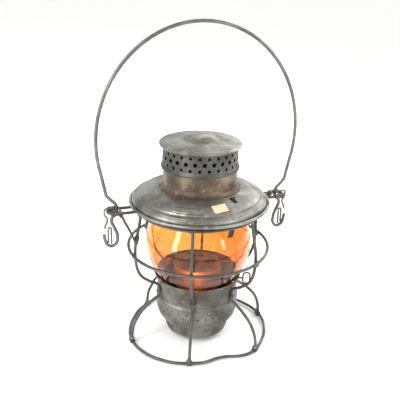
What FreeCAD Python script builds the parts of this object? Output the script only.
import FreeCAD, Part
import Sketcher
import math
import os

# A short-globe signal lantern: a bent-wire guard cage that carries a cup with the oil burner, an amber
# globe, a hinged hood with a perforated chimney, and a wire bail.
#
# Millimetres. +Z is up, the origin is at the bottom centre, and the bail's ears lie on the X axis.
# An azimuth is measured about Z from the front (-Y) towards the right (+X), so +X is at 90 degrees.

UP = FreeCAD.Vector(0, 0, 1)
RIGHT = FreeCAD.Vector(1, 0, 0)

SIZES = {
    # stock
    "frame_wire": 3.5,
    "bail_wire": 3.8,
    "keeper_wire": 2.4,
    "tongue_wire": 2.2,
    "knob_wire": 1.9,
    "sheet_wall": 0.6,
    "strip_wall": 0.8,
    "touch_gap": 0.05,
    "seat_gap": 0.3,
    # guard cage
    "guard_first_azimuth": 36.0,
    "crown_radius": 72.0,
    "crown_height": 166.85,
    "bow_radius": 79.3,
    "bow_top": 127.0,
    "bow_bottom": 112.0,
    "guard_ring_height": 118.5,
    "foot_wrap_radius": 3.1,
    "foot_wrap_length": 6.0,
    # cup
    "cup_rim_radius": 52.4,
    "cup_rim_height": 82.5,
    "cup_waist_radius": 48.3,
    "cup_waist_height": 62.0,
    "cup_lip_height": 52.0,
    "band_radius": 49.8,
    "band_holes": 34,
    "band_hole": 1.8,
    "band_row_low": 41.5,
    "band_row_high": 47.0,
    "band_floor": 22.0,
    "well_radius": 39.4,
    "well_floor": 6.8,
    "seat_height": 75.2,
    "seat_bore": 43.5,
    # globe
    "globe_belly": 62.8,
    "globe_neck": 47.0,
    "globe_wall": 3.0,
    "globe_tall": 93.0,
    "globe_bend": 58.0,
    "globe_shoulder": 56.48,
    "globe_shoulder_rise": 26.33,
    # hood
    "brim_radius": 79.8,
    "brim_height": 174.4,
    "brim_wire": 3.6,
    "chimney_radius": 42.3,
    "chimney_foot": 192.9,
    "vent_bottom": 215.2,
    "vent_top": 244.0,
    "vent_holes": 26,
    "vent_hole_small": 3.5,
    "vent_hole_large": 4.6,
    "cap_radius": 46.8,
    "cap_height": 243.0,
    "cap_crown": 8.5,
    "flue_radius": 28.0,
    # hood hinge and latch
    "hinge_radius": 84.5,
    "hinge_height": 168.5,
    "hinge_pin": 2.4,
    "knuckle": 4.6,
    "hinge_width": 16.0,
    "hinge_running": 0.08,
    "latch_azimuth": 14.0,
    "latch_tab_azimuth": 22.5,
    "latch_slot_inner": 50.5,
    "latch_slot_outer": 60.0,
    "latch_slot_width": 4.8,
    # ears and bail
    "ear_height": 170.4,
    "ear_half_width": 7.5,
    "ear_reach": 107.0,
    "ear_plate_inner": 93.0,
    "ear_plate_outer": 106.0,
    "brace_foot": 137.5,
    "brace_reach": 95.5,
    "brace_wall": 1.2,
    "brace_width": 6.0,
    "bail_foot": 97.1,
    "bail_half_width": 117.0,
    "bail_rise": 126.0,
    "bail_centre": 247.6,
    "slot_half": 5.7,
    # burner
    "fount_radius": 35.8,
    "fount_top": 51.5,
    "fount_neck": 14.5,
    "gallery_radius": 29.0,
    "gallery_bottom": 62.0,
    "gallery_top": 93.5,
    "wick_width": 12.5,
    "wick_thick": 2.4,
    "wick_bottom": 20.0,
    "wick_top": 104.0,
    "spindle_azimuth": 70.9,
    "spindle_height": 71.6,
    "spindle": 2.2,
    "spur_radius": 3.4,
    "knob_radius": 60.5,
}


class Size:
    """A length that carries its value and the sheet expression that gives it."""

    def __init__(self, value, text):
        self.value = value
        self.text = text

    def join(self, other, sign, value):
        return Size(value, f"({self.text} {sign} {as_size(other).text})")

    def __add__(self, other):
        return self.join(other, "+", self.value + as_size(other).value)

    def __sub__(self, other):
        return self.join(other, "-", self.value - as_size(other).value)

    def __mul__(self, other):
        return self.join(other, "*", self.value * as_size(other).value)

    def __truediv__(self, other):
        return self.join(other, "/", self.value / as_size(other).value)

    def __radd__(self, other):
        return as_size(other) + self

    def __rsub__(self, other):
        return as_size(other) - self

    def __rmul__(self, other):
        return as_size(other) * self


def as_size(number):
    """A plain number becomes a Size that is its own expression."""
    return number if isinstance(number, Size) else Size(float(number), f"{float(number):.6f}")


def value(number):
    return as_size(number).value


class SizeSheet:
    """The document's spreadsheet. Reading an attribute gives that cell as a Size."""

    def __init__(self, document, sizes):
        self.cells = dict(sizes)
        sheet = document.addObject("Spreadsheet::Sheet", "sizes")
        for row, (name, number) in enumerate(sizes.items(), start=1):
            sheet.set(f"A{row}", name)
            sheet.set(f"B{row}", str(number))
            sheet.setAlias(f"B{row}", name)
        document.recompute()

    def __getattr__(self, name):
        return Size(float(self.cells[name]), f"sizes.{name}")


doc = FreeCAD.newDocument("lantern")
size = SizeSheet(doc, SIZES)
parts = []


# ---------------------------------------------------------------- helpers

def bind(item, **properties):
    """Set properties of a document object, tied to the sheet where a Size is given."""
    for name, number in properties.items():
        setattr(item, name, value(number))
        if isinstance(number, Size):
            item.setExpression(name, number.text)
    return item


def keep(item, label):
    """Mark an object as a finished sub-part; its label names its file."""
    item.Label = label
    parts.append(item)
    return item


def turn(item, azimuth):
    """Turn a piece that was made along +X so that it faces the azimuth."""
    item.Placement = FreeCAD.Placement(FreeCAD.Vector(), FreeCAD.Rotation(UP, value(azimuth) - 90))
    return item


def origin_feature(body, role):
    """One of the body's own planes or axes."""
    return next(f for f in body.Origin.OriginFeatures if f.Role == role)


def new_sketch(body, name, role="XZ_Plane", offset=0.0):
    """A sketch on one of the body's own origin planes, moved along the plane's normal."""
    sketch = body.newObject("Sketcher::SketchObject", name)
    sketch.AttachmentSupport = [(origin_feature(body, role), "")]
    sketch.MapMode = "FlatFace"
    sketch.AttachmentOffset = FreeCAD.Placement(FreeCAD.Vector(0, 0, value(offset)), FreeCAD.Rotation())
    return sketch


def constrain(sketch, kind, *places, length):
    index = sketch.addConstraint(Sketcher.Constraint(kind, *places, value(length)))
    if isinstance(length, Size):
        sketch.setExpression(f"Constraints[{index}]", length.text)


def pin_point(sketch, edge, end, point):
    """Hold one end of an edge at a point, on an axis where the coordinate is a plain zero."""
    for kind, axis, length in (("DistanceX", -2, point[0]), ("DistanceY", -1, point[1])):
        if value(length) == 0:
            sketch.addConstraint(Sketcher.Constraint("PointOnObject", edge, end, axis))
        else:
            constrain(sketch, kind, -1, 1, edge, end, length=length)


def draw_outline(sketch, points):
    """A closed outline. A third entry bends the edge that starts there: its radius, centre on the left."""
    ends = []
    for here, there in zip(points, points[1:] + points[:1]):
        start = FreeCAD.Vector(value(here[0]), value(here[1]), 0)
        stop = FreeCAD.Vector(value(there[0]), value(there[1]), 0)
        if len(here) == 3:
            radius = value(here[2])
            chord = stop - start
            rise = math.sqrt(radius ** 2 - chord.Length ** 2 / 4)
            left = FreeCAD.Vector(-chord.y, chord.x, 0).normalize()
            centre = (start + stop) * 0.5 + left * math.copysign(rise, radius)
            first, last = (start, stop) if radius > 0 else (stop, start)
            angles = [math.atan2((p - centre).y, (p - centre).x) for p in (first, last)]
            circle = Part.Circle(centre, UP, abs(radius))
            edge = sketch.addGeometry(Part.ArcOfCircle(circle, *angles))
            constrain(sketch, "Radius", edge, length=here[2] if radius > 0 else 0 - here[2])
            ends.append((edge, 1, 2) if radius > 0 else (edge, 2, 1))
        else:
            edge = sketch.addGeometry(Part.LineSegment(start, stop))
            ends.append((edge, 1, 2))
    for (edge, _, stop), (following, start, _) in zip(ends, ends[1:] + ends[:1]):
        sketch.addConstraint(Sketcher.Constraint("Coincident", edge, stop, following, start))
    for (edge, start, _), point in zip(ends, points):
        pin_point(sketch, edge, start, point)


def thicken(line, wall):
    """Close an open line into a band of even wall on its left-hand side, mitred at the corners."""
    flat = [FreeCAD.Vector(value(x), value(y), 0) for x, y in line]
    runs = [(b - a).normalize() for a, b in zip(flat, flat[1:])]
    inner = []
    for index, (x, y) in enumerate(line):
        before = runs[max(index - 1, 0)]
        after = runs[min(index, len(runs) - 1)]
        middle = (before + after).normalize()
        reach = 1 / max(middle.dot(after), 0.4)
        inner_x = 0 if value(x) == 0 else x - wall * (middle.y * reach)
        inner.append((inner_x, y + wall * (middle.x * reach)))
    return list(line) + inner[::-1]


def turned_body(name, outline):
    """A body of revolution about Z from a closed outline of (radius, height) points."""
    body = doc.addObject("PartDesign::Body", name)
    sketch = new_sketch(body, f"{name}_outline")
    draw_outline(sketch, outline)
    feature = body.newObject("PartDesign::Revolution", f"{name}_revolution")
    feature.Profile = sketch
    feature.ReferenceAxis = (sketch, ["V_Axis"])
    feature.Angle = 360
    body.Tip = feature
    return body


def revolved(label, outline):
    """A turned body that is a finished sub-part as it is."""
    return keep(turned_body(label, outline), label)


def pad(body, name, outline, width, middle=0.0):
    """Pad an outline drawn in the radius-height plane, centred at a distance along the piece's Y."""
    sketch = new_sketch(body, f"{name}_outline", offset=0.0 - as_size(middle).value)
    draw_outline(sketch, outline)
    feature = body.newObject("PartDesign::Pad", name)
    feature.Profile = sketch
    feature.Midplane = True
    bind(feature, Length=width)
    body.Tip = feature
    return feature


def pad_ring(body, name, centre, outer, bore, width, middle=0.0):
    """Pad a round eye about an axis along the piece's Y."""
    sketch = new_sketch(body, f"{name}_outline", offset=0.0 - as_size(middle).value)
    for diameter in (outer, bore):
        spot = FreeCAD.Vector(value(centre[0]), value(centre[1]), 0)
        edge = sketch.addGeometry(Part.Circle(spot, UP, value(diameter) / 2))
        constrain(sketch, "Diameter", edge, length=diameter)
        pin_point(sketch, edge, 3, centre)
    feature = body.newObject("PartDesign::Pad", name)
    feature.Profile = sketch
    feature.Midplane = True
    bind(feature, Length=width)
    body.Tip = feature
    return feature


def drill_rows(body, rows, count, reach):
    """Cut rows of round holes through a shell: each row is (height, diameter, azimuth of one hole)."""
    for number, (height, diameter, azimuth) in enumerate(rows, start=1):
        name = f"{body.Name}_row_{number}"
        sketch = new_sketch(body, f"{name}_hole")
        sketch.AttachmentOffset = FreeCAD.Placement(
            FreeCAD.Vector(), FreeCAD.Rotation(FreeCAD.Vector(0, 1, 0), azimuth))
        edge = sketch.addGeometry(Part.Circle(FreeCAD.Vector(0, value(height), 0), UP, value(diameter) / 2))
        constrain(sketch, "Diameter", edge, length=diameter)
        pin_point(sketch, edge, 3, (0, height))
        doc.recompute()
        whole = body.Tip.Shape.Volume
        pocket = body.newObject("PartDesign::Pocket", f"{name}_cut")
        pocket.Profile = sketch
        bind(pocket, Length=reach)
        body.Tip = pocket
        doc.recompute()
        if pocket.Shape.Volume > whole - 0.01:
            pocket.Reversed = True
        pattern = body.newObject("PartDesign::PolarPattern", f"{name}_pattern")
        pattern.Originals = [pocket]
        pattern.Axis = (origin_feature(body, "Z_Axis"), [""])
        pattern.Angle = 360
        pattern.Occurrences = int(value(count))
        pattern.setExpression("Occurrences", count.text)
        body.Tip = pattern
        doc.recompute()


def rounded_path(points, bend, closed=False):
    """Straight runs joined by tangent arcs. One bend radius, or one for each corner, limited by its runs."""
    flat = [FreeCAD.Vector(*p) for p in points]
    count = len(flat)
    corners = range(count) if closed else range(1, count - 1)
    bends = bend if isinstance(bend, list) else [bend] * len(corners)
    cuts = {}
    for place, index in enumerate(corners):
        corner = flat[index]
        back = flat[index - 1] - corner
        ahead = flat[(index + 1) % count] - corner
        half = (math.pi - back.getAngle(ahead)) / 2
        tangent = min(bends[place] * math.tan(half), 0.46 * min(back.Length, ahead.Length))
        radius = tangent / math.tan(half)
        start = corner + back.normalize() * tangent
        stop = corner + ahead.normalize() * tangent
        inward = (back + ahead).normalize()
        middle = corner + inward * (radius / math.cos(half) - radius)
        cuts[index] = (start, middle, stop)
    edges = []
    if closed:
        for index in corners:
            edges.append(Part.Arc(*cuts[index]).toShape())
            edges.append(Part.makeLine(cuts[index][2], cuts[(index + 1) % count][0]))
        return Part.Wire(edges)
    here = flat[0]
    for index in corners:
        start, middle, stop = cuts[index]
        edges.append(Part.makeLine(here, start))
        edges.append(Part.Arc(start, middle, stop).toShape())
        here = stop
    edges.append(Part.makeLine(here, flat[-1]))
    return Part.Wire(edges)


def bent_wire(label, points, thickness, bend, closed=False):
    """A round wire of even thickness swept along a bent path."""
    path = doc.addObject("Part::Feature", f"{label}_path")
    path.Shape = rounded_path([[value(c) for c in p] for p in points], bend, closed)
    edges = path.Shape.Edges
    start = edges[0].valueAt(edges[0].FirstParameter)
    heading = edges[0].tangentAt(edges[0].FirstParameter)
    section = doc.addObject("Part::Circle", f"{label}_section")
    bind(section, Radius=thickness / 2)
    section.Placement = FreeCAD.Placement(start, FreeCAD.Rotation(UP, heading))
    sweep = doc.addObject("Part::Sweep", label)
    sweep.Sections = [section]
    sweep.Spine = (path, [f"Edge{n}" for n in range(1, len(edges) + 1)])
    sweep.Solid = True
    sweep.Frenet = False
    return keep(sweep, label)


def polar(azimuth, radius, height):
    angle = math.radians(azimuth - 90)
    return (value(radius) * math.cos(angle), value(radius) * math.sin(angle), value(height))


def box(name, low, high):
    """A box between two corners, tied to the sheet."""
    item = doc.addObject("Part::Box", name)
    bind(item, Length=high[0] - low[0], Width=high[1] - low[1], Height=high[2] - low[2])
    item.Placement.Base = FreeCAD.Vector(*[value(c) for c in low])
    return item


def turned_box(name, low, high, azimuth):
    """A box drawn with its width along the piece's Y, turned with the piece to an azimuth."""
    item = turn(box(name, low, high), azimuth)
    corner = FreeCAD.Vector(*[value(c) for c in low])
    item.Placement.Base = item.Placement.Rotation.multVec(corner)
    return item


def cylinder(name, diameter, length, base=(0, 0, 0), direction=UP):
    item = doc.addObject("Part::Cylinder", name)
    bind(item, Radius=diameter / 2, Height=length)
    spot = FreeCAD.Vector(*[value(c) for c in base])
    item.Placement = FreeCAD.Placement(spot, FreeCAD.Rotation(UP, direction))
    return item


def cut(name, base, tool):
    item = doc.addObject("Part::Cut", name)
    item.Base = base
    item.Tool = tool
    return item


def fuse(name, *shapes):
    item = doc.addObject("Part::MultiFuse", name)
    item.Shapes = list(shapes)
    return item


def group(label, shapes):
    """Several separate solids that share one node."""
    item = doc.addObject("Part::Feature", label)
    item.Shape = Part.makeCompound(shapes)
    return keep(item, label)


def copies_at(shape, azimuths):
    """Copies of a shape made along +X, turned to each azimuth."""
    turned = []
    for azimuth in azimuths:
        copy = shape.copy()
        copy.rotate(FreeCAD.Vector(), UP, azimuth - 90)
        turned.append(copy)
    return turned


wall = size.sheet_wall
wire = size.frame_wire
touch = size.touch_gap
guard_azimuths = [value(size.guard_first_azimuth) + 60 * n for n in range(6)]

# Each ear: its name, its azimuth and the sign of its X.
EARS = [("right", 90, 1), ("left", 270, -1)]


# ---------------------------------------------------------------- guard cage

# The base ring as it is bent from use: (azimuth, radius) of its corners.
BASE_RING = [
    (-158, 83.3), (-130, 81.5), (-110, 82), (-93, 85.5), (-75, 87), (-57, 86.3), (-36, 83.6),
    (-12, 78.6), (1, 72.6), (10, 74), (20, 82), (29, 86.8), (43, 87.5), (60, 87), (74, 87),
    (83, 87.3), (98, 86.3), (112, 82.5), (125, 81), (143, 83), (169, 84),
]
ring_height = size.foot_wrap_radius

# How far each guard wire's foot has been bent round from its own azimuth.
FOOT_LEAN = [0, -5.5, 0, 0, 0, 0]

# Bend radius at each corner of a guard wire, from the crown down to the foot.
GUARD_BENDS = [20, 60, 60, 40, 30, 24, 14, 7, 7, 24, 40, 60, 40, 24]


def ring_point(azimuth, height):
    """The base ring's centre line where it crosses an azimuth, and the heading of its run there."""
    for (a0, r0), (a1, r1) in zip(BASE_RING, BASE_RING[1:] + [(202, 83.3)]):
        for lap in (-360, 0):
            if a0 <= azimuth + lap < a1:
                start = FreeCAD.Vector(*polar(a0, r0, height))
                run = FreeCAD.Vector(*polar(a1, r1, height)) - start
                out = FreeCAD.Vector(*polar(azimuth, 1, 0))
                across = UP.cross(out)
                step = -start.dot(across) / run.dot(across)
                return start + run * step, run.normalize()
    raise ValueError(azimuth)


ring_points = [polar(azimuth, radius, ring_height) for azimuth, radius in BASE_RING]
bent_wire("base_ring", ring_points, wire, 60.0, closed=True)

wraps = []
for number, (azimuth, lean) in enumerate(zip(guard_azimuths, FOOT_LEAN), start=1):
    spot, heading = ring_point(azimuth + lean, value(ring_height))
    foot_radius = math.hypot(spot.x, spot.y)
    wrap_top = 2 * value(ring_height)
    guard = [
        (size.crown_radius, size.crown_height - wire / 2 - touch),
        (size.crown_radius + 1.4, size.crown_height - 11.0),
        (size.bow_radius, size.bow_top),
        (size.bow_radius, size.bow_bottom),
        (size.bow_radius - 2.0, size.bow_bottom - 14.0),
        (size.crown_radius, size.cup_rim_height + 4.5),
        (size.crown_radius - 11.0, size.cup_rim_height - 4.0),
        (size.cup_waist_radius + 3.5, size.cup_rim_height - 9.0),
        (size.cup_waist_radius + wire / 2 + 0.2, size.cup_waist_height + 6.5),
        (size.cup_waist_radius + wire / 2 + 0.2, size.cup_waist_height - 5.0),
        (size.cup_waist_radius + 8.0, size.cup_waist_height - 7.7),
        (size.cup_waist_radius + 18.0, size.cup_waist_height - 15.0),
        (foot_radius - 8.5, 36.0),
        (foot_radius - 2.0, 23.0),
        (foot_radius, 12.0),
        (foot_radius, wrap_top),
    ]
    leans = [0] * 10 + [lean * 0.3, lean * 0.6] + [lean] * 4
    path = [polar(azimuth + off, radius, height) for off, (radius, height) in zip(leans, guard)]
    bent_wire(f"guard_wire_{number}", path, wire, GUARD_BENDS)
    sleeve = Part.makeCylinder(
        value(size.foot_wrap_radius), value(size.foot_wrap_length),
        spot - heading * (value(size.foot_wrap_length) / 2), heading)
    bore = Part.makeCylinder(value(wire) / 2 + value(touch), 40, spot - heading * 20, heading)
    wraps.append(sleeve.cut(bore))
group("foot_wraps", wraps)

guard_ring = doc.addObject("Part::Torus", "guard_ring")
bind(guard_ring, Radius1=size.bow_radius + wire + touch, Radius2=wire / 2)
guard_ring.Placement.Base.z = value(size.guard_ring_height)
keep(guard_ring, "guard_ring")

crown_ring = doc.addObject("Part::Torus", "crown_ring")
bind(crown_ring, Radius1=size.crown_radius, Radius2=wire / 2)
crown_ring.Placement.Base.z = value(size.crown_height)
keep(crown_ring, "crown_ring")

# Each clip is a staple that holds a guard wire's upright run on the cup's waist.
clip_low = value(size.cup_waist_height) - 1.2
clip_tall = 4.0
clip_centre = value(size.cup_waist_radius + wire / 2 + 0.2)
clip_foot = FreeCAD.Vector(clip_centre, 0, clip_low)
clip_outer = Part.makeCylinder(value(wire) / 2 + 0.75, clip_tall, clip_foot)
clip_leg = clip_centre - value(size.cup_waist_radius) - 0.4
clip_width = value(wire) + 1.5
clip_body = clip_outer.fuse(Part.makeBox(
    clip_leg, clip_width, clip_tall, FreeCAD.Vector(clip_centre - clip_leg, -clip_width / 2, clip_low)))
clip_bore = Part.makeCylinder(value(wire) / 2 + value(touch), clip_tall, clip_foot)
clip_gap = value(wire) + 2 * value(touch)
clip_slot = Part.makeBox(
    clip_leg + 1, clip_gap, clip_tall, FreeCAD.Vector(clip_centre - clip_leg - 1, -clip_gap / 2, clip_low))
group("cup_wire_clips", copies_at(clip_body.cut(clip_bore).cut(clip_slot), guard_azimuths))


# ---------------------------------------------------------------- cup

rim = size.cup_rim_radius
rim_top = size.cup_rim_height
waist = size.cup_waist_radius
lip = size.cup_lip_height
band = size.band_radius

cup_line = [
    (rim - 0.4, rim_top), (rim, rim_top - 1.0), (waist + 2.3, rim_top - 4.5), (waist + 0.9, rim_top - 10.5),
    (waist, size.cup_waist_height + 4.0), (waist, size.cup_waist_height - 5.5), (band - 1.1, lip + 4.6),
    (band - 0.1, lip + 2.4), (band + 0.5, lip + 1.0), (band + 0.3, lip),
]
cup = turned_body("globe_cup_turned", thicken(cup_line[::-1], wall))


spindle_turn = value(size.spindle_azimuth)


def along_spindle(start, diameter, length, name):
    """A cylinder on the spindle's own line, from a radius outwards."""
    base = polar(spindle_turn, start, size.spindle_height)
    return cylinder(name, diameter, length, base, FreeCAD.Vector(*polar(spindle_turn, 1, 0)))


# The spindle's hole is a boolean on the turned cup.
keep(cut("globe_cup_pierced", cup, along_spindle(waist - 6, size.spindle * 2, 12, "cup_hole")), "globe_cup")

band_floor = size.band_floor
band_line = [
    (size.well_radius + 0.5, band_floor), (size.well_radius + 1.8, band_floor + 0.8),
    (band - 5.3, band_floor + 3.5), (band - 2.3, band_floor + 8.0), (band - 0.6, band_floor + 14.0),
    (band - 0.2, size.band_row_low), (band, size.band_row_high), (band, lip - 0.6),
    (band - 1.2, lip + 0.4), (band - 1.2, lip + 2.6),
]
draft_band = revolved("draft_band", thicken(band_line, wall))
band_rows = [
    (size.band_row_high, size.band_hole, -11.9),
    (size.band_row_low, size.band_hole, -16.5),
]
drill_rows(draft_band, band_rows, size.band_holes, band + 8)

well = size.well_radius
floor = size.well_floor
well_line = [
    (0, floor), (well - 3.9, floor), (well - 2.2, floor + 1.1), (well - 1.0, floor + 4.2),
    (well - 0.4, floor + 9.2), (well, floor + 14.2), (well, band_floor + 5.0),
]
revolved("cup_well", thicken(well_line, wall))

seat = size.seat_height
seat_edge = waist + 1.3 - wall - touch
revolved("globe_seat", [
    (size.seat_bore, seat - size.strip_wall), (seat_edge, seat - size.strip_wall), (seat_edge, seat),
    (size.seat_bore, seat),
])


# ---------------------------------------------------------------- globe

neck = size.globe_neck
glass = size.globe_wall
globe_low = seat + size.seat_gap
globe_high = globe_low + size.globe_tall
globe_middle = globe_low + size.globe_tall / 2
shoulder = size.globe_shoulder
rise = size.globe_shoulder_rise
bend = size.globe_bend

# The belly is one arc, with straight shoulders that leave it on its tangent. The bore follows it one
# glass thickness inside, so its arc ends that thickness in along the same radius, 27 degrees up.
bore_shoulder = shoulder - glass * math.cos(math.radians(27))
bore_rise = rise - glass * math.sin(math.radians(27))
revolved("globe", [
    (neck, globe_low), (neck, globe_low + 2.8), (neck + 1.5, globe_low + 4.5),
    (shoulder, globe_middle - rise, bend), (shoulder, globe_middle + rise),
    (neck + 1.5, globe_high - 4.5), (neck, globe_high - 2.8), (neck, globe_high),
    (neck - glass, globe_high), (neck - glass, globe_high - 3.8), (neck - glass + 1.5, globe_high - 5.5),
    (bore_shoulder, globe_middle + bore_rise, glass - bend), (bore_shoulder, globe_middle - bore_rise),
    (neck - glass + 1.5, globe_low + 5.5), (neck - glass, globe_low + 3.8), (neck - glass, globe_low),
])


# ---------------------------------------------------------------- hood

brim = size.brim_radius
brim_low = size.brim_height
foot = size.chimney_foot
chimney = size.chimney_radius

brim_line = [
    (chimney + 4.2, foot), (chimney + 11.7, foot - 1.5),
    (chimney + 17.7, foot - 3.3), (chimney + 23.7, foot - 5.9),
    (brim - 9.6, brim_low + 10.0), (brim - 8.6, brim_low + 8.5), (brim - 4.5, brim_low + 7.1),
    (brim - 2.6, brim_low + 5.2), (brim - 1.95, brim_low + 2.6),
    (brim - size.brim_wire / 2 - touch, brim_low),
]
slot_half = size.latch_slot_width / 2
latch_slot = turned_box(
    "latch_slot", (size.latch_slot_inner, 0 - slot_half, foot - 14),
    (size.latch_slot_outer, slot_half, foot + 4), size.latch_tab_azimuth)
brim_body = turned_body("hood_brim_turned", thicken(brim_line[::-1], wall))
keep(cut("hood_brim_cut", brim_body, latch_slot), "hood_brim")

edge_wire = doc.addObject("Part::Torus", "brim_edge_wire")
bind(edge_wire, Radius1=brim, Radius2=size.brim_wire / 2)
edge_wire.Placement.Base.z = value(brim_low)
keep(edge_wire, "brim_edge_wire")

collar_line = [
    (chimney + 5.3, foot + touch), (chimney + 5.3, foot + 0.8), (chimney + 3.3, foot + 1.6),
    (chimney + 1.5, foot + 3.4), (chimney + 0.3, foot + 6.1), (chimney, foot + 9.1),
    (chimney, size.vent_bottom + 4.3),
]
revolved("chimney_collar", thicken(collar_line, wall))

vent = size.vent_bottom
vent_line = [
    (chimney + 2.1, vent), (chimney + 2.5, vent + 1.7), (chimney + 1.9, vent + 3.6),
    (chimney + 1.0, vent + 5.0), (chimney + 0.9, vent + 7.7), (chimney + 0.4, vent + 14.8),
    (chimney, vent + 21.8), (chimney + 0.2, size.vent_top),
]
vent_band = revolved("vent_band", thicken(vent_line, wall))
vent_rows = [
    (vent + 21.1, size.vent_hole_small, 7.9),
    (vent + 14.5, size.vent_hole_large, 1.0),
    (vent + 7.7, size.vent_hole_small, 7.9),
]
drill_rows(vent_band, vent_rows, size.vent_holes, chimney + 8)

cap = size.cap_radius
cap_edge = size.cap_height
crown = cap_edge + size.cap_crown
revolved("cap", thicken([
    (cap - 1.8, cap_edge - 2.0), (cap - 0.5, cap_edge - 1.6), (cap, cap_edge), (cap - 1.5, cap_edge + 1.4),
    (cap - 6.8, cap_edge + 2.6), (cap - 16.8, cap_edge + 3.8), (cap - 26.3, cap_edge + 4.4),
    (cap - 29.3, crown - 2.6), (cap - 34.8, crown - 0.8), (0, crown),
], wall))

flue = size.flue_radius
revolved("smoke_flue", thicken([
    (chimney + 7.2, foot - 1.9), (chimney + 1.7, foot - 1.0), (chimney - 2.3, foot + 1.6),
    (flue + 3.0, foot + 13.0), (flue, foot + 20.0), (flue, vent + 16.0),
], wall))

# Two spring clips hang from the brim's underside and reach down beside the globe's shoulder.
strip = size.strip_wall
globe_clip_width = 8.0
clip_azimuths = [135, 255]
clips = doc.addObject("PartDesign::Body", "globe_clip_shape")
clip_line = [
    (57.2, 155.0), (60.5, 159.5), (67.0, 172.0), (67.0, brim_low + 9.6), (chimney + 15.2, brim_low + 13.4),
]
pad(clips, "clip_leaf", thicken(clip_line, 0 - strip), globe_clip_width)
doc.recompute()
group("globe_clips", copies_at(clips.Shape, clip_azimuths))

# The latch is one spring leaf: a tongue inside the crown ring, an arm under the brim and a tab in its slot.
latch = doc.addObject("PartDesign::Body", "hood_latch")
arm_line = [(64.0, 179.4), (55.0, 180.4)]
tongue_line = [(62.4, 151.5), (64.6, 158.0), (67.4, 166.0), (67.4, 178.0)] + arm_line
tab_line = arm_line + [(54.6, 181.4), (54.6, foot + 1.6)]
pad(latch, "tongue", thicken(tongue_line, 0 - strip), 7.0)
pad(latch, "tab", thicken(tab_line, 0 - strip), 3.4, middle=8.3)
pad(latch, "arm", thicken(arm_line, 0 - strip), 13.5, middle=3.25)
keep(turn(latch, size.latch_azimuth), "hood_latch")

# Hinge at the back. Its pieces are drawn facing +X and turned to the rear.
pivot = (size.hinge_radius, size.hinge_height)
eye = size.knuckle
eye_third = (size.hinge_width - 0.6) / 3
hole = size.hinge_pin + 2 * size.hinge_running
hood_leaf = doc.addObject("PartDesign::Body", "hood_hinge_leaf")
pad_ring(hood_leaf, "hood_eye", pivot, eye, hole, eye_third)
leaf_inner = size.hinge_radius - eye / 2
riser = [
    (leaf_inner, size.hinge_height + 0.4), (leaf_inner + strip, size.hinge_height + 2.0),
    (leaf_inner + strip, size.hinge_height + 5.0), (leaf_inner, size.hinge_height + 5.0),
]
pad(hood_leaf, "riser", riser, eye_third)
leaf_line = [
    (leaf_inner, size.hinge_height + 4.0), (leaf_inner, brim_low + 4.4), (brim - 4.0, brim_low + 7.75),
    (brim - 7.6, brim_low + 8.9),
]
pad(hood_leaf, "leaf", thicken(leaf_line[::-1], strip), 12.0)
turn(hood_leaf, 180)
keep(hood_leaf, "hood_hinge_leaf")

frame_leaf = doc.addObject("PartDesign::Body", "frame_hinge_leaf")
side = eye_third + 0.3
shelf_top = size.crown_height - wire / 2 - touch
shelf_edge = size.hinge_radius + 0.5
pad(frame_leaf, "shelf", [
    (size.crown_radius - 3.0, shelf_top - strip), (shelf_edge, shelf_top - strip),
    (shelf_edge, shelf_top), (size.crown_radius - 3.0, shelf_top),
], size.hinge_width)
eye_foot = size.hinge_height - eye / 2 + 0.5
for name, middle in (("near", 0 - side), ("far", side)):
    pad_ring(frame_leaf, f"{name}_eye", pivot, eye, hole, eye_third, middle)
    pad(frame_leaf, f"{name}_riser", [
        (shelf_edge - 1.0, shelf_top - 0.4), (shelf_edge, shelf_top - 0.4),
        (shelf_edge, eye_foot), (shelf_edge - 1.0, eye_foot),
    ], eye_third, middle)
turn(frame_leaf, 180)
keep(frame_leaf, "frame_hinge_leaf")

pin_half = size.hinge_width / 2
pin_rod = cylinder("pin_rod", size.hinge_pin, size.hinge_width + 0.6, (0 - pin_half - 0.3, *pivot), RIGHT)
pin_heads = [
    cylinder(f"pin_head_{n}", size.hinge_pin + 1.2, 0.8, (x, *pivot), RIGHT)
    for n, x in enumerate((0 - pin_half - 1.0, pin_half + 0.2), start=1)
]
keep(fuse("hinge_pin_fused", pin_rod, *pin_heads), "hinge_pin")


# ---------------------------------------------------------------- ears

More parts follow.
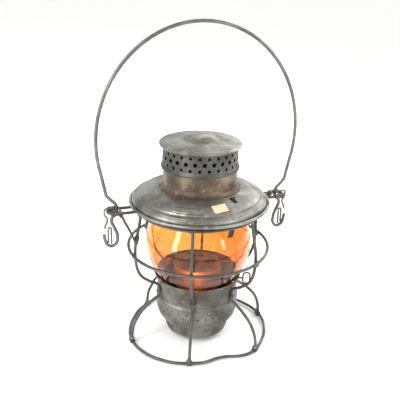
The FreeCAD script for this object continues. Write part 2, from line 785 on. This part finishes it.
ear = size.ear_height
half = size.ear_half_width
plate_low = ear + wire / 2 + touch
reach = size.ear_reach
plate_inner = size.ear_plate_inner
plate_outer = size.ear_plate_outer
for hand, azimuth, sign in EARS:
    root = (size.crown_radius - 3.5) * sign
    loop = [
        (root, half * -sign, ear), (reach * sign, half * -sign, ear),
        (reach * sign, half * sign, ear), (root, half * sign, ear),
    ]
    bent_wire(f"ear_loop_{hand}", loop, wire, value(half) - 0.1)

    wide = half + wire / 2 + 0.1
    plate = box(
        f"ear_sheet_{hand}", (plate_inner, 0 - wide - strip, plate_low),
        (plate_outer, wide + strip, plate_low + strip))
    lips = [
        box(f"ear_lip_{hand}_{n}", (plate_inner, low, ear - 1.4),
            (plate_outer - 3.0, low + strip, plate_low + 0.2))
        for n, low in enumerate((wide, 0 - wide - strip), start=1)
    ]
    slot_wide = size.bail_wire + 0.8
    slot = box(
        f"ear_slot_{hand}", (size.bail_foot - slot_wide / 2, 0 - size.slot_half, plate_low - 1),
        (size.bail_foot + slot_wide / 2, size.slot_half, plate_low + 2))
    sheet = fuse(f"ear_folded_{hand}", plate, *lips)
    keep(turn(cut(f"ear_plate_cut_{hand}", sheet, slot), azimuth), f"ear_plate_{hand}")

    # The brace is a curved strap from under the ear's plate to the ferrule on the nearest guard wire.
    brace = doc.addObject("PartDesign::Body", f"ear_brace_{hand}")
    under = ear - wire / 2 - touch - size.brace_wall
    inner = size.bow_radius + wire / 2
    brace_line = [
        (inner - 0.3, size.brace_foot), (inner + 2.4, size.brace_foot + 7.0),
        (inner + 5.8, size.brace_foot + 15.0), (inner + 10.0, size.brace_foot + 23.0),
        (inner + 12.3, under), (size.brace_reach, under),
    ]
    strap = thicken(brace_line, size.brace_wall)
    pad(brace, f"brace_strap_{hand}", strap, size.brace_width, middle=half + 0.9)
    keep(turn(brace, azimuth), f"ear_brace_{hand}")

    guard_top = FreeCAD.Vector(*polar(azimuth + 6, size.crown_radius + 1.4, size.crown_height - 11.0))
    guard_low = FreeCAD.Vector(*polar(azimuth + 6, size.bow_radius, size.bow_top))
    heading = (guard_top - guard_low).normalize()
    ferrule_spot = guard_low + heading * 5.0
    sleeve = Part.makeCylinder(value(wire) / 2 + 1.0, 9.0, ferrule_spot, heading)
    bore = Part.makeCylinder(value(wire) / 2 + value(touch), 20.0, ferrule_spot - heading * 5, heading)
    group(f"brace_ferrule_{hand}", [sleeve.cut(bore)])

    keeper = [
        (reach - 5.8, 0, ear + 4.05), (reach + 3.7, 0, ear + 4.05), (reach + 3.9, 0, ear - 3.6),
        (reach + 0.9, 0, ear - 7.4), (reach + 0.8, 0, ear - 11.0), (reach + 3.3, 0, ear - 15.9),
        (reach + 4.0, 0, ear - 19.4),
    ]
    bent_wire(f"bail_keeper_{hand}", [(x * sign, y, z) for x, y, z in keeper], size.keeper_wire, 2.0)


# ---------------------------------------------------------------- bail

foot_x = size.bail_foot

# The bail's end, bent by hand: from its tip round the hook, up through the ear and into the bow.
hook = [
    (112.1, 0, 143.5), (111.2, 0, 136.5), (109.1, 0, 130.5), (104.0, 0, 127.6), (99.5, 0, 129.6),
    (96.6, 0, 135.5), (97.3, 0, 143.3), (100.1, 0, 150.8), (103.4, 0, 158.0), (103.2, 0, 163.2),
    (foot_x, 0, ear - 3.2), (foot_x, 0, ear + 5.4), (98.6, 0, ear + 9.8), (103.4, 0, 184.6),
    (108.2, 0, 190.1), (109.6, 0, 198.0),
]
bow_start = -0.085
bow_steps = 22
bow = []
for step in range(bow_steps + 1):
    angle = math.pi * (bow_start + (0.5 - bow_start) * step / bow_steps)
    bow.append((value(size.bail_half_width) * math.cos(angle), 0,
                value(size.bail_centre) + value(size.bail_rise) * math.sin(angle)))
right_half = hook + bow[:-1]
left_half = [(0 - as_size(x), y, z) for x, y, z in right_half[::-1]]
bent_wire("bail", right_half + [bow[-1]] + left_half, size.bail_wire, 6.0)

for hand, azimuth, sign in EARS:
    pin = [(103.9, 0, 131.3), (103.9, 0, 151.4), (107.3, 0, 151.4), (107.3, 0, 133.2)]
    bent_wire(f"bail_tongue_{hand}", [(x * sign, y, z) for x, y, z in pin], size.tongue_wire, 1.65)


# ---------------------------------------------------------------- fount and burner

can = size.fount_radius
can_low = floor + wall + size.seat_gap
can_top = size.fount_top
throat = size.fount_neck
revolved("fount", thicken([
    (0, can_low), (can - 1.3, can_low), (can, can_low + 1.8), (can, can_top - 7.5),
    (can - 2.8, can_top - 4.0), (throat, can_top), (throat, can_top + 5.5),
], wall))

keep(cylinder("filler_cap_round", 11, 3.5, polar(-60, 24, can_top - 0.8)), "filler_cap")

tube_half = size.wick_width / 2 + 0.8
tube_thick = size.wick_thick / 2 + 0.5
wick_y = 0 - (size.spur_radius + size.wick_thick / 2 + 0.25)
tube_low = can_top - 6.0
outer_tube = box(
    "tube_outer", (0 - tube_half - 0.8, wick_y - tube_thick - 0.8, tube_low),
    (tube_half + 0.8, wick_y + tube_thick + 0.8, size.gallery_top - 1.0))
inner_tube = box(
    "tube_inner", (0 - tube_half, wick_y - tube_thick, tube_low - 1),
    (tube_half, wick_y + tube_thick, size.gallery_top + 1))
window = box(
    "tube_window", (-5.5, wick_y, size.spindle_height - 4.5), (5.5, wick_y + 8, size.spindle_height + 4.5))
tube_cut = cut("tube_cut", outer_tube, fuse("tube_hollow", inner_tube, window))
keep(turn(tube_cut, spindle_turn), "wick_tube")

base_body = turned_body("burner_base_turned", thicken([
    (throat + 0.4 + wall, can_top + 1.2), (throat + 0.4 + wall, can_top + 7.0), (0, can_top + 7.0),
], wall))
tube_slot = turned_box(
    "tube_slot", (0 - tube_half - 1.1, wick_y - tube_thick - 1.1, can_top - 5),
    (tube_half + 1.1, wick_y + tube_thick + 1.1, size.gallery_top + 20), spindle_turn)
keep(cut("burner_base_cut", base_body, tube_slot), "burner_base")

drum = size.gallery_radius
drum_low = size.gallery_bottom
drum_top = size.gallery_top
gallery = turned_body("burner_gallery_turned", thicken([
    (throat - 2.0, drum_low - 2.8), (throat + 2.5, drum_low - 2.8), (drum - 2.0, drum_low + 1.6),
    (drum, drum_low + 4.5), (drum, drum_top - 1.2), (drum - 0.8, drum_top),
], wall))
drum_hole = along_spindle(throat, size.spindle + 0.8, drum, "drum_hole")
keep(cut("gallery_cut", gallery, drum_hole), "burner_gallery")

deck = turned_body("burner_deck_turned", thicken([
    (drum - 2.2, drum_top - 0.6), (drum - 9.0, drum_top + 1.6), (12.5, drum_top + 3.0), (7.5, drum_top + 7.5),
    (0, drum_top + 9.0),
], wall))
keep(cut("burner_deck_cut", deck, tube_slot), "burner_deck")

wick_strip = turned_box(
    "wick_strip", (0 - size.wick_width / 2, wick_y - size.wick_thick / 2, size.wick_bottom),
    (size.wick_width / 2, wick_y + size.wick_thick / 2, size.wick_top), spindle_turn)
keep(wick_strip, "wick")

spindle_start = -5.2
spindle_length = size.knob_radius - 4.2 - size.knob_wire / 2 - touch - spindle_start
keep(along_spindle(spindle_start, size.spindle, spindle_length, "spindle_rod"), "wick_spindle")

bushing = along_spindle(waist - 2.6, size.spindle * 2 - 0.1, 5.5, "bushing_outer")
bushing_bore = along_spindle(waist - 4.0, size.spindle + 2 * size.touch_gap, 9.0, "bushing_bore")
keep(cut("bushing_cut", bushing, bushing_bore), "spindle_bushing")


# The wheels that drive the wick: teeth, their depth, the wheels' thickness and their offset from the axis.
SPUR_TEETH = 14
SPUR_TOOTH = 0.6
SPUR_THICK = 1.2
SPUR_OFFSET = 3.4


def spur_wheel(middle):
    """A toothed wheel that drives the wick, on the spindle's line, centred at a distance along it."""
    rim_points = []
    for tooth in range(2 * SPUR_TEETH):
        radius = value(size.spur_radius) - (0 if tooth % 2 == 0 else SPUR_TOOTH)
        angle = math.pi * tooth / SPUR_TEETH
        rim_points.append(FreeCAD.Vector(0, radius * math.cos(angle), radius * math.sin(angle)))
    face = Part.Face(Part.makePolygon(rim_points + rim_points[:1]))
    disc = face.extrude(RIGHT * SPUR_THICK)
    bore = Part.makeCylinder(value(size.spindle) / 2 + value(touch), SPUR_THICK + 2, RIGHT * -1, RIGHT)
    disc = disc.cut(bore)
    disc.translate(FreeCAD.Vector(middle - SPUR_THICK / 2, 0, value(size.spindle_height)))
    return copies_at(disc, [spindle_turn])[0]


group("spur_wheels", [spur_wheel(-SPUR_OFFSET), spur_wheel(SPUR_OFFSET)])

knob_heading = FreeCAD.Vector(*polar(spindle_turn, 1, 0))
knob_points = []
for along, high in [(-4.2, -7.2), (4.2, -7.2), (4.2, 7.2), (-4.2, 7.2)]:
    spot = knob_heading * (value(size.knob_radius) + along) + UP * (value(size.spindle_height) + high)
    knob_points.append(tuple(spot))
bent_wire("wick_knob_loop", knob_points, size.knob_wire, 3.2, closed=True)


# ---------------------------------------------------------------- check and write

doc.recompute()
failed = [item.Name for item in doc.Objects if {"Invalid", "Error"} & set(item.State)]
if failed:
    raise SystemExit(f"failed objects: {failed}")
os.makedirs("parts", exist_ok=True)
for item in parts:
    if item.Shape.isNull() or not item.Shape.isValid():
        raise SystemExit(f"bad shape: {item.Label}")
    if item.Shape.Volume <= 0:
        raise SystemExit(f"empty or reversed shape: {item.Label}")
    item.Shape.exportStep(f"parts/{item.Label}.step")
    print(f"{item.Label}: {len(item.Shape.Solids)} solid, {item.Shape.Volume:.0f} mm3")
